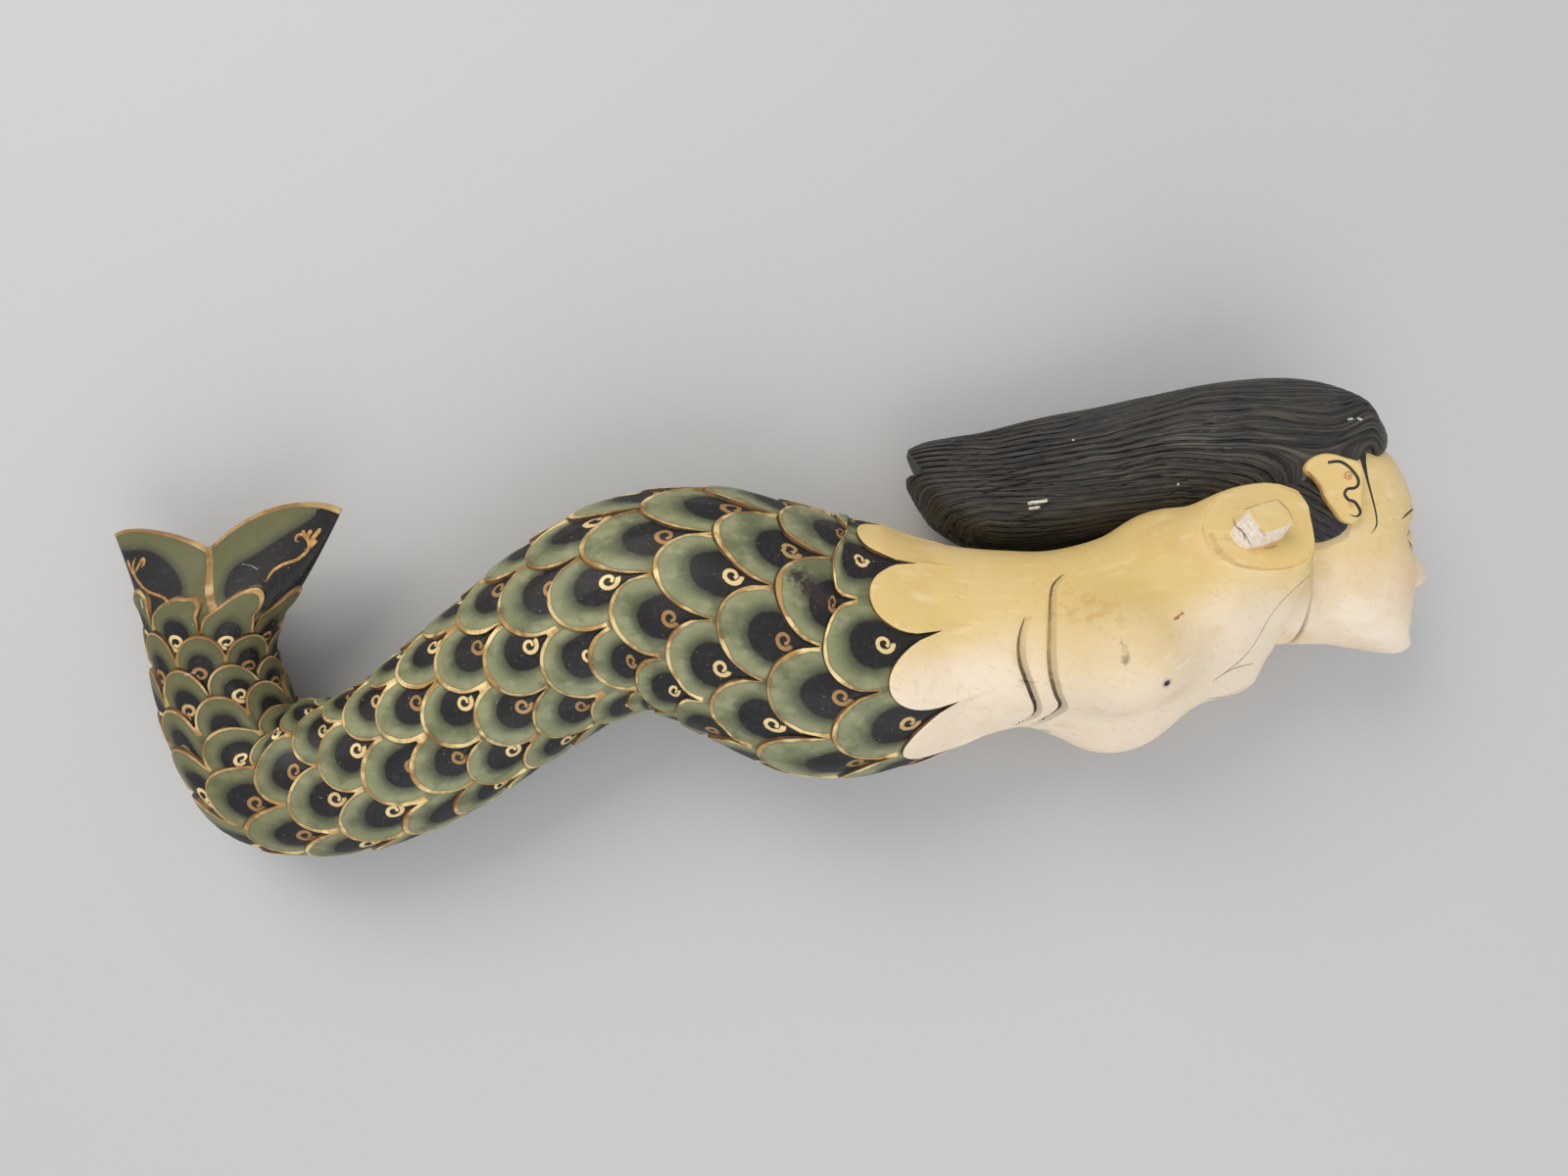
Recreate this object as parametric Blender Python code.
"""A carved and painted wooden mermaid, lying on her left side as on a table.

The carving is two blocks of wood. The first is the torso with its scaled tail and forked fluke. The second is
the head with the long hair that flows back over the shoulders. It is glued to the first at a straight seam
across the neck. The arms were separate and are lost, so each shoulder ends in a flat seat with a square tenon.

Metres, +Z up. X runs along the body towards the head, and +Y is the side of her back.
"""

import math

import bmesh
import bpy
import numpy as np

LENGTH = 0.800  # overall, from the fluke to the nose
MM = LENGTH / 813  # the free form is written in millimetres of a carving 813 mm long

# Rows of the body's centre line, from the neck seam to the root of the fluke: x, y, z, half the depth from back to
# front, half the width from side to side, and the roll in degrees that turns the front towards +Z.
BODY_ROWS = (
    (308, 17, 79, 34, 32, 26),
    (296, 18, 79, 35, 40, 26.5),
    (282, 17, 79, 43, 48, 27),
    (247, 6, 79, 54, 60, 28),
    (208, -5, 78, 52, 58, 28),
    (170, -10, 77, 49, 52, 28),
    (138, -11.5, 76, 51.5, 51, 27),
    (104, -14.5, 73, 59.5, 56, 24),
    (68, -18, 71, 73, 63, 20),
    (30, -17, 69, 79, 67, 17),
    (-8, -4, 69, 75, 67, 13),
    (-45, 7, 68, 71, 65, 10),
    (-85, 7, 65, 65, 61, 7),
    (-122, -9, 61, 60, 57, 4),
    (-158, -34, 57, 56, 53, 2),
    (-193, -60, 53, 53.5, 50, 0),
    (-228, -84, 50, 50.5, 48, 0),
    (-268, -99.8, 47, 47.7, 46, 0),
    (-310, -99.3, 46, 46.2, 44, -1),
    (-332, -80, 47, 39, 40, -3),
    (-345.7, -47, 50, 35.8, 37, -6),
    (-349.5, -20, 53, 35.4, 34, -9),
    (-349, 4, 56, 43.5, 32, -12),
)
SINK = 1.6  # how much of the underside is worn flat where it rests
MIDDLE = (-7.86, -3.8)  # x and y of the middle of the footprint, which becomes the origin

# Swellings of the torso: how far along the body, angle round it from the back, reach along, reach round, height.
BREAST = (116, 138, 35, 31, 26)
SHOULDER = (22, 86, (16, 46), 32, 36)
BELLY = (185, 180, 40, 45, 5)
BLADE = (70, 38, 26, 20, 5)
SPINE_HOLLOW = (110, 0, 70, 11, -4)
FAR_SHOULDER = (43, 205, (9, 20), 22, 7)  # on the side that lies down

# Scales
WAIST_EDGE = 216  # along the body to the notches of the skin's scalloped edge
SKIN_LOBE_DEPTH = 36
FIRST_PITCH = 44  # from the skin's edge to the notches of the first ring of scales
PITCH_BASE, PITCH_SHARE = 11, 0.0425  # a ring's pitch is the base and this share of the body's girth
LOBE_FILL = 0.93  # how far a scale reaches over the next ring, in ring pitches
SCALE_STEP = 2.4  # how proud a scale's free edge stands
# From this far along, so many scales go round. The last number swaps the rings that are shifted.
SCALES_ROUND = ((0, 9, 0), (430, 8, 0), (560, 7, 0), (690, 8, 1))
SCALE_TURN = 24  # degrees from the middle of the back to the first notch
SLANT = (20, 290, 110)  # rings lean towards the tail at the back: how far, where most, and reach
STEP_RUN = 0.9  # length of the small slope below a scale's edge

# Carved folds of the belly: points of along and angle from the back, mirrored to the other side
FOLDS = (
    ((140, 74), (151, 84), (155.5, 112), (156.5, 134), (153, 151), (149.5, 161), (150, 171), (153, 178)),
    ((167, 103), (171, 117), (171, 132), (166, 150), (161.5, 165), (163, 177)),
)
FOLD_WIDE, FOLD_DEEP = 1.9, 2.2

# Fluke: two lobes with a notch between. The right one lies on the side of the back.
FLUKE_RIGHT = (91, 70)  # how far sideways and how far along its tip is
FLUKE_LEFT = (68, 48.5)
FLUKE_NOTCH = 37
FLUKE_CURVE = 2.6  # how quickly a lobe's top edge rises from the notch
FLUKE_DROP = 5  # how far the rounded tips fall back
FLUKE_EDGE = 2.6  # half the thickness of the fluke's edge

# Shoulder seats and the tenons that held the arms
SEAT_X = 263
SEAT_CENTRE = (10, 79)
SEAT_ROLL = 28
SEAT_REACH = 74  # from the body's centre line to the flat seat
SEAT_ALONG = 100
TENON_LONG = 0.0185
TENON_WIDE = 0.017
TENON_TALL = 0.016
TENON_TURN = 22  # degrees from the body's length
TENON_SHIFT = (4, 4)  # from the middle of the seat, along the body and towards the back
TENON_ROOT = 0.006  # how deep the tenon runs into the shoulder
TENON_SPLAY = 0.008  # how far the torn fibre slopes out at its foot on the side of the tail

# Head, in its own frame at the foot of the nose: forward, up and sideways
HEAD_AT = (322, 16, 70)
HEAD_TILT = 2  # degrees that the face looks up
# height, from the head's axis to the front and to the back, and half the width
HEAD_ROWS = (
    (-42, 46, 4, 9),
    (-40.5, 55, 12, 17),
    (-35, 61, 24, 26),
    (-22, 61, 36, 35),
    (-5, 61.5, 46, 41),
    (15, 62, 52, 44),
    (35, 62, 56, 45),
    (55, 61, 58, 45),
    (75, 52, 57, 43),
    (92, 36, 50, 37),
    (106, 16, 34, 24),
    (112, 6, 10, 8),
)
HEAD_HEIGHTS = (
    -42, -40.5, -36, -31, -26, -22, -18.5, -16, -14.5, -13, -10.5, -6, -2, 2, 5.5, 10,
    17, 23, 27, 30.5, 34, 39, 46, 56, 70, 85, 100, 112,
)
# Face on plain thirds of 41 each. Height, sideways, reach up, reach sideways, how proud; pairs are mirrored.
FACE_SWELLS = (
    (41, 17, 5, 14, 1.5),
    (30, 19, 9, 12, -5),
    (29, 19, 5.2, 8.5, 4.6),
    (6, 25, 14, 12, 2.2),
    (3, 8, 4, 4.5, 5),
)
MOUTH_SWELLS = (
    (-10.5, 0, 3, 11, 3.4),
    (-19, 0, 3.2, 9.5, 3.6),
    (-14.7, 0, 1.5, 13, -1.8),
    (-27, 0, 4, 12, -1.6),
    (-37, 0, 6, 12, 2.6),
)
THROAT_RISE, THROAT_FROM, THROAT_LONG = 10, 55, 50  # how far the underside rises behind the chin
NOSE_ROOT, NOSE_TIP, NOSE_FOOT, NOSE_PROUD = 37, 5.5, -2.5, 14.5
# Outline of an ear in x and y, from its top going back and down, and its rings as how far out and how large
EAR_OUTLINE = (
    (323.5, 91), (316, 93), (309, 92.5), (303, 88.5), (301.5, 83.5), (306.5, 79), (310.5, 73.5), (312.5, 68),
    (317, 61.5), (321.5, 55.5), (327, 53.5), (332.5, 57), (333.5, 67), (334, 78), (332.5, 87.5),
)
EAR_RINGS = ((36, 0.9), (48, 1), (50.5, 0.98), (52, 0.9), (51.6, 0.7), (51, 0.3))

# Neck from the seam into the head: x, y, z, half the depth, half the width, and roll
NECK_ROWS = (
    (308, 17, 79, 34, 32, 26),
    (320, 17.5, 77, 34.5, 33, 18),
    (336, 19, 73, 36, 34, 8),
    (352, 20, 70, 36, 31, 0),
    (364, 20, 70, 32, 22, 0),
)

# Hair from the crown to the tips: x, y, z, half the depth, half the width, and roll
HAIR_ROWS = (
    (366, 103, 70, 4, 11, 0),
    (358, 103, 70, 10, 31, 0),
    (349, 104.5, 70, 17, 43.5, 0),
    (340, 109, 70, 22, 49, 2),
    (322, 100, 68, 39.5, 51.5, 4),
    (300, 96, 64, 46.5, 52, 7),
    (270, 96, 58, 44.5, 49, 11),
    (235, 92, 49.5, 42.5, 45, 15),
    (200, 86, 44, 41.5, 42, 18),
    (165, 81, 42, 40.5, 39, 20),
    (130, 77, 43, 36, 35, 20),
    (104, 81, 44, 27.5, 29, 20),
    (92, 86.5, 45, 19.5, 22, 20),
    (84, 91.5, 46, 11.5, 13.5, 20),
)
HAIR_AROUND = 42  # one ridge and one groove in turn
HAIR_GROOVE = 2.2
HAIR_WAVE = (0.05, 27)  # the strands' sway in radians and its length
# Flat lock of hair over the side of the neck, below the ear: its outline in x and y, and how far out it reaches
NAPE_LOCK = ((284, 86), (309, 84), (318, 71), (324, 59), (328, 53.5), (322, 46), (309, 43), (298, 50))
NAPE_OUT = (20, 47)
LOCK_NOTCH = ((74, 117), (92, 86.8), (74, 86))  # x and y of the cut between the two lock tips

GLUE_LINE = 0.0003  # clear gap at the neck seam
HAIR_GAP = 0.0005  # clear gap between the hair and the back it lies on

AROUND = 42  # points round the body
TORSO_RINGS = 16  # rings of the skin
MASK_SCALE_RINGS = 3  # rings of scales that the hair's hollow takes in
FLUKE_RINGS = 4
HEAD_AROUND = 26
FRONT_DENSE = 0.38  # how much closer the points stand on the face than on the nape
SQUARENESS = 2.3  # of the head's sections, where 2 is an ellipse

SKIN_PAINT = ((0.80, 0.66, 0.42), 0.45)
SCALE_PAINT = ((0.16, 0.22, 0.13), 0.5)
HAIR_PAINT = ((0.02, 0.02, 0.02), 0.6)


def clear_scene():
    for obj in list(bpy.data.objects):
        bpy.data.objects.remove(obj)


def paint(name, colour, roughness):
    material = bpy.data.materials.new(name)
    material.use_nodes = True
    shader = material.node_tree.nodes["Principled BSDF"]
    shader.inputs["Base Color"].default_value = (*colour, 1)
    shader.inputs["Roughness"].default_value = roughness
    return material


def unit(vectors):
    return vectors / np.linalg.norm(vectors, axis=-1, keepdims=True)


def through(rows, at):
    """Rows of numbers read at fractional row numbers, on smooth curves through them."""
    rows = np.asarray(rows, float)
    at = np.clip(np.asarray(at, float), 0, len(rows) - 1)
    first = np.minimum(at.astype(int), len(rows) - 2)
    t = (at - first)[..., None]
    before, start = rows[np.maximum(first - 1, 0)], rows[first]
    end, after = rows[first + 1], rows[np.minimum(first + 2, len(rows) - 1)]
    return 0.5 * (
        2 * start
        + (end - before) * t
        + (2 * before - 5 * start + 4 * end - after) * t**2
        + (3 * start - before - 3 * end + after) * t**3
    )


class Body:
    """The body's centre line and sections, read by the distance along it from the neck seam."""

    samples = 600

    def __init__(self):
        self.rows = np.array(BODY_ROWS, float)
        self.row_at = np.linspace(0, len(self.rows) - 1, self.samples)
        points = through(self.rows, self.row_at)[:, :3]
        steps = np.linalg.norm(np.diff(points, axis=0), axis=1)
        self.distance = np.concatenate([[0], np.cumsum(steps)])
        self.length = self.distance[-1]

    def read(self, along):
        """Centre, back, side and tail directions, half depth and half width."""
        along = np.clip(along, 0, self.length)
        row = np.interp(along, self.distance, self.row_at)
        values = through(self.rows, row)
        nudge = 0.02
        ahead = through(self.rows, row + nudge)[..., :3] - through(self.rows, row - nudge)[..., :3]
        tail = unit(ahead)
        back = unit(np.cross(tail, (0, 0, 1)))
        side = np.cross(back, tail)
        roll = np.radians(values[..., 5:6])
        rolled_back = back * np.cos(roll) - side * np.sin(roll)
        rolled_side = back * np.sin(roll) + side * np.cos(roll)
        return values[..., :3], rolled_back, rolled_side, tail, values[..., 3:4], values[..., 4:5]

    def girth(self, along):
        *_, deep, wide = self.read(np.array(along, float))
        return float(math.pi * (deep[0] + wide[0]))


def swelling(bump, along, angle, deep, wide, mirrored=True):
    """Height of a rounded swelling at each point, on both sides of the body."""
    at, turn, reach, spread, height = bump
    half = (deep[..., 0] + wide[..., 0]) / 2
    if isinstance(reach, tuple):  # shorter towards the neck than towards the tail
        reach = np.where(along < at, *reach)
    total = 0
    for centre in {turn, (360 - turn) % 360} if mirrored else {turn}:
        aside = np.radians((np.degrees(angle) - centre + 180) % 360 - 180) * half
        apart = ((along - at) / reach) ** 2 + (aside / spread) ** 2
        total = total + height * np.exp(-(apart**1.25))
    return total


def fluke_height(sideways):
    """How far the fluke's top edge lies from its root, from the left tip at -1 to the right tip at 1."""
    tip = np.where(sideways > 0, FLUKE_RIGHT[1], FLUKE_LEFT[1])
    rise = 1 - (1 - np.abs(sideways)) ** FLUKE_CURVE
    return FLUKE_NOTCH + (tip - FLUKE_NOTCH) * rise - FLUKE_DROP * np.abs(sideways) ** 9


def body_surface(body, along, angle, lift):
    """Points of the torso, tail and fluke, in millimetres. Past the body's length they lie on the fluke."""
    centre, back, side, tail, deep, wide = body.read(along)
    cosine, sine = np.cos(angle)[..., None], np.sin(angle)[..., None]
    past = np.clip((along - body.length) / FLUKE_NOTCH, 0, 1)[..., None]
    tip = np.where(cosine > 0, FLUKE_RIGHT[0], FLUKE_LEFT[0])
    across = deep + (tip - deep) * past**0.75
    blunt = 1 - 0.5 * past
    thick = FLUKE_EDGE + (wide - FLUKE_EDGE) * (1 - past) ** 1.7
    up = np.sign(sine) * np.abs(sine) ** blunt * thick
    outward = unit(cosine / deep * back + sine / wide * side)
    bumps = sum(
        swelling(bump, along, angle, deep, wide)
        for bump in (BREAST, SHOULDER, BELLY, BLADE, SPINE_HOLLOW)
    )
    bumps = bumps + swelling(FAR_SHOULDER, along, angle, deep, wide, mirrored=False)
    bumps = bumps + lift * (1 - past[..., 0])
    return (
        centre
        + cosine * across * back
        + up * side
        + past * fluke_height(cosine) * tail
        + bumps[..., None] * outward
    )


def scallop(angle, count, shifted):
    """Rounded lobes round the body: 0 at the notches between them and 1 at their tips."""
    place = (angle - math.radians(SCALE_TURN)) / (2 * math.pi) * count + (0.5 if shifted else 0)
    across = 2 * (place - np.floor(place)) - 1
    return np.sqrt(np.clip(1 - across**2, 0, 1))


def slant(along, angle):
    lean, middle, reach = SLANT
    return lean * math.exp(-(((along - middle) / reach) ** 2)) * np.cos(angle)


def scale_rings(body):
    """The rings from the skin's edge down: distance along, pitch, scales round, and whether it is shifted."""
    rings = [(WAIST_EDGE, SKIN_LOBE_DEPTH / LOBE_FILL, SCALES_ROUND[0][1], False)]
    at = WAIST_EDGE + FIRST_PITCH
    while True:
        pitch = PITCH_BASE + PITCH_SHARE * body.girth(at)
        count, swap = [(number, odd) for start, number, odd in SCALES_ROUND if at >= start][-1]
        rings.append((at, pitch, count, (len(rings) + swap) % 2 == 1))
        if at + 0.6 * pitch > body.length:
            return rings
        at += pitch


def body_rows(body, angle):
    """Rows of points down the body, each as (distance along, lift) at every angle."""
    edges = [
        at + slant(at, angle) + LOBE_FILL * pitch * scallop(angle, count, shifted)
        for at, pitch, count, shifted in scale_rings(body)
    ]
    rows = []
    for share in np.linspace(0, 1, TORSO_RINGS)[:-1]:
        rows.append((share * WAIST_EDGE + share**4 * (edges[0] - WAIST_EDGE), 0 * angle))
    for edge in edges:
        rows.append((edge, 0 * angle + SCALE_STEP))
        rows.append((edge + STEP_RUN, 0 * angle))
    start = edges[-1] + STEP_RUN
    end = body.length + FLUKE_NOTCH
    for share in np.linspace(0, 1, FLUKE_RINGS + 1)[1:]:
        rows.append((start + share * (end - start), 0 * angle))
    return rows


def mesh_from_rows(name, rows, fold_last):
    """A closed skin over rings of points. The first ring is capped flat, and the last is capped or folded shut."""
    count = len(rows[0])
    mesh = bpy.data.meshes.new(name)
    build = bmesh.new()
    rings = [[build.verts.new(point) for point in row] for row in rows]
    for near, far in zip(rings, rings[1:]):
        for i in range(count):
            j = (i + 1) % count
            build.faces.new((near[i], near[j], far[j], far[i]))
    build.faces.new(rings[0])
    if fold_last:
        last = rings[-1]
        for i in range(count // 2):
            corners = [last[i], last[i + 1], last[-i - 1], last[-i % count]]
            corners = list(dict.fromkeys(corners))
            build.faces.new(corners)
    else:
        build.faces.new(rings[-1])
    bmesh.ops.recalc_face_normals(build, faces=build.faces)
    bmesh.ops.triangulate(build, faces=build.faces)
    build.to_mesh(mesh)
    build.free()
    return mesh


def place(name, mesh, material):
    obj = bpy.data.objects.new(name, mesh)
    bpy.context.scene.collection.objects.link(obj)
    if material:
        mesh.materials.append(material)
    mesh.shade_smooth()
    mesh.set_sharp_from_angle(angle=math.radians(35))
    return obj


def helper(name, mesh):
    """A shape that only cuts or joins others."""
    obj = place(name, mesh, None)
    obj.hide_render = True
    obj.display_type = "WIRE"
    return obj


def combine(obj, other, operation):
    modifier = obj.modifiers.new(f"{operation} {other.name}", "BOOLEAN")
    modifier.operation = operation
    modifier.solver = "EXACT"
    modifier.object = other


def build_body(body):
    angle = np.arange(AROUND) * 2 * math.pi / AROUND
    points = [
        body_surface(body, along + 0 * angle, angle, lift) for along, lift in body_rows(body, angle)
    ]
    return mesh_from_rows("torso_and_tail", points, fold_last=True)


def sections(rows, around, squareness, ripple=0.0, sway=(0, 1), finer=1):
    """Rings of points on rounded sections square to x."""
    angle = np.arange(around) * 2 * math.pi / around
    proud = 1 - ripple * (np.arange(around) % 2)[:, None] / 40
    at = np.linspace(0, len(rows) - 1, finer * (len(rows) - 1) + 1)
    rings = []
    for x, y, z, deep, wide, roll in through(rows, at):
        turned = angle + sway[0] * math.sin(x / sway[1])
        cosine, sine = np.cos(turned), np.sin(turned)
        reach = (np.abs(cosine / deep) ** squareness + np.abs(sine / wide) ** squareness) ** (-1 / squareness)
        out, up = cosine * reach, sine * reach
        roll = math.radians(roll)
        ring = np.stack(
            [
                0 * out,
                out * math.cos(roll) + up * math.sin(roll),
                up * math.cos(roll) - out * math.sin(roll),
            ],
            axis=-1,
        )
        rings.append((x, y, z) + ring * proud)
    return rings


def face_relief(height, sideways):
    """How far the face stands forward of the plain head: nose, eyes, brow, cheeks, lips and chin."""
    total = 0 * height
    for at, aside, tall, broad, proud in FACE_SWELLS + MOUTH_SWELLS:
        apart = np.abs(sideways) - aside
        total = total + proud * np.exp(-(((height - at) / tall) ** 2) - (apart / broad) ** 2)
    down = np.clip((NOSE_ROOT - height) / (NOSE_ROOT - NOSE_TIP), 0, 1)
    under = np.clip((height - NOSE_FOOT) / (NOSE_TIP - NOSE_FOOT), 0, 1)
    ridge = NOSE_PROUD * down**1.2 * under**0.6
    return total + ridge * np.exp(-((sideways / (4.2 + 3.2 * down)) ** 2))


def head_surface(height, angle):
    """Points of the head, from angle 0 at the middle of the face."""
    heights = [row[0] for row in HEAD_ROWS]
    row = np.interp(height, heights, np.arange(len(heights)))
    _, front, back, wide = np.moveaxis(through(HEAD_ROWS, row), -1, 0)
    cosine, sine = np.cos(angle), np.sin(angle)
    reach = np.where(cosine > 0, front, back)
    forward = np.sign(cosine) * np.abs(cosine) ** (2 / SQUARENESS) * reach
    sideways = np.sign(sine) * np.abs(sine) ** (2 / SQUARENESS) * wide
    forward = forward + face_relief(height, sideways) * np.clip(cosine * 2.5, 0, 1)
    behind = np.clip((THROAT_FROM - forward) / THROAT_LONG, 0, 1)
    height = height + THROAT_RISE * behind * np.clip((-height - 8) / 30, 0, 1)
    tilt = math.radians(HEAD_TILT)
    return np.stack(
        [
            HEAD_AT[0] + forward * math.cos(tilt) - height * math.sin(tilt),
            HEAD_AT[1] + forward * math.sin(tilt) + height * math.cos(tilt),
            HEAD_AT[2] + sideways,
        ],
        axis=-1,
    )


def build_head():
    step = np.arange(HEAD_AROUND) * 2 * math.pi / HEAD_AROUND
    angle = step - FRONT_DENSE * np.sin(step)
    rows = [head_surface(height + 0 * angle, angle) for height in HEAD_HEIGHTS]
    return mesh_from_rows("head", rows, fold_last=False)


def build_ear(side):
    """A flat plate with a rounded rim and a slight hollow."""
    outline = np.array(EAR_OUTLINE)
    middle = outline.mean(axis=0)
    rows = []
    for out, size in EAR_RINGS:
        ring = middle + (outline - middle) * size
        rows.append(np.column_stack([ring, np.full(len(ring), HEAD_AT[2] + side * out)]))
    return mesh_from_rows("ear", rows, fold_last=False)


def block(corners):
    """A closed convex block over its corner points, in millimetres."""
    mesh = bpy.data.meshes.new("block")
    build = bmesh.new()
    for corner in corners:
        build.verts.new(corner)
    bmesh.ops.convex_hull(build, input=build.verts)
    bmesh.ops.recalc_face_normals(build, faces=build.faces)
    build.to_mesh(mesh)
    build.free()
    return mesh


def box(x, y, z):
    return block([(a, b, c) for a in x for b in y for c in z])


def seat_frame(side):
    """Middle of a shoulder's seat and its directions along the body, to the back and outward."""
    roll = math.radians(SEAT_ROLL)
    outward = np.array((0, math.sin(roll), math.cos(roll))) * side
    back = np.array((0, math.cos(roll), -math.sin(roll)))
    middle = np.array((SEAT_X, *SEAT_CENTRE)) + SEAT_REACH * outward
    return middle, np.array((1, 0, 0)), back, outward


def build_seat_cut(side):
    middle, along, back, outward = seat_frame(side)
    half = SEAT_ALONG / 2
    return block(
        [middle + a * along + b * back + c * outward for a in (-half, half) for b in (-half, half) for c in (0, 60)]
    )


def build_tenon():
    middle, along, back, outward = seat_frame(1)
    long, wide, tall, root, splay = (
        size / MM for size in (TENON_LONG, TENON_WIDE, TENON_TALL, TENON_ROOT, TENON_SPLAY)
    )
    turn = math.radians(TENON_TURN)
    first = along * math.cos(turn) + back * math.sin(turn)
    second = back * math.cos(turn) - along * math.sin(turn)
    centre = middle + TENON_SHIFT[0] * along + TENON_SHIFT[1] * back
    corners = [
        centre + a * first * long / 2 + b * second * wide / 2 + c * outward
        for a in (-1, 1)
        for b in (-1, 1)
        for c in (-root, tall)
    ]
    foot = centre - first * (long / 2 + splay)
    corners += [foot + b * second * wide / 2.6 - root * outward for b in (-1, 1)]
    return block(corners)


def build_fold(body, points, side):
    """A tapered wedge that follows a fold over the skin."""
    count = 2 * len(points)
    along, degrees = through(points, np.linspace(0, len(points) - 1, count)).T
    angle = np.radians(degrees) * side
    path = body_surface(body, along, angle, 0 * along)
    inner, *_ = body.read(along)
    over = body_surface(body, along + 1, angle, 0 * along) - path
    around = body_surface(body, along, angle + 0.02, 0 * along) - path
    normal = unit(np.cross(around, over))
    normal = normal * np.sign(np.sum(normal * (path - inner), axis=1))[:, None]
    across = unit(np.cross(normal, np.gradient(path, axis=0)))
    swell = np.sin(np.linspace(0.12, math.pi - 0.12, count))[:, None] ** 0.6
    rows = np.stack(
        [
            path + across * FOLD_WIDE * swell + 3 * normal,
            path - normal * FOLD_DEEP * swell,
            path - across * FOLD_WIDE * swell + 3 * normal,
        ],
        axis=1,
    )
    return mesh_from_rows("fold", rows, fold_last=False)


def build_torso_mask(body):
    """The torso grown by the gap, to hollow the hair where it lies on the back."""
    angle = np.arange(AROUND) * 2 * math.pi / AROUND
    rows = body_rows(body, angle)[: TORSO_RINGS - 1 + 2 * MASK_SCALE_RINGS]
    points = [body_surface(body, along + 0 * angle, angle, lift + HAIR_GAP / MM) for along, lift in rows]
    points[0][:, 0] += GLUE_LINE / MM
    return mesh_from_rows("torso mask", points, fold_last=False)


def scaled(mesh):
    """Millimetres to metres about the middle of the footprint, sunk so that the worn flats lie on the ground."""
    for vertex in mesh.vertices:
        vertex.co = [(value - start) * MM for value, start in zip(vertex.co, (*MIDDLE, SINK))]
    return mesh


def main():
    clear_scene()
    body = Body()
    ground = helper("ground cutter", scaled(box((-600, 600), (-300, 300), (-80, SINK))))

    torso = place("torso_and_tail", scaled(build_body(body)), paint("painted tail", *SCALE_PAINT))
    for side, name in ((1, "right"), (-1, "left")):
        combine(torso, helper(f"{name} seat cutter", scaled(build_seat_cut(side))), "DIFFERENCE")
    combine(torso, helper("right tenon", scaled(build_tenon())), "UNION")
    for number, points in enumerate(FOLDS):
        for side, name in ((1, "right"), (-1, "left")):
            fold = helper(f"{name} fold cutter {number}", scaled(build_fold(body, points, side)))
            combine(torso, fold, "DIFFERENCE")
    combine(torso, ground, "DIFFERENCE")

    hair = sections(HAIR_ROWS, HAIR_AROUND, 2.7, HAIR_GROOVE, HAIR_WAVE)
    head = place(
        "head_and_hair",
        scaled(mesh_from_rows("head_and_hair", hair, fold_last=False)),
        paint("painted hair", *HAIR_PAINT),
    )
    notch = [(x, y, z) for x, y in LOCK_NOTCH for z in (-60, 200)]
    combine(head, helper("lock notch cutter", scaled(block(notch))), "DIFFERENCE")
    for side, name in ((1, "right"), (-1, "left")):
        lock = [(x, y, HEAD_AT[2] + side * out) for x, y in NAPE_LOCK for out in NAPE_OUT]
        combine(head, helper(f"{name} nape lock", scaled(block(lock))), "UNION")
    combine(head, helper("head", scaled(build_head())), "UNION")
    neck = sections(NECK_ROWS, AROUND, 2.0, finer=2)
    combine(head, helper("neck", scaled(mesh_from_rows("neck", neck, fold_last=False))), "UNION")
    for side, name in ((1, "right"), (-1, "left")):
        combine(head, helper(f"{name} ear", scaled(build_ear(side))), "UNION")
    combine(head, helper("torso mask", scaled(build_torso_mask(body))), "DIFFERENCE")
    combine(head, ground, "DIFFERENCE")


main()
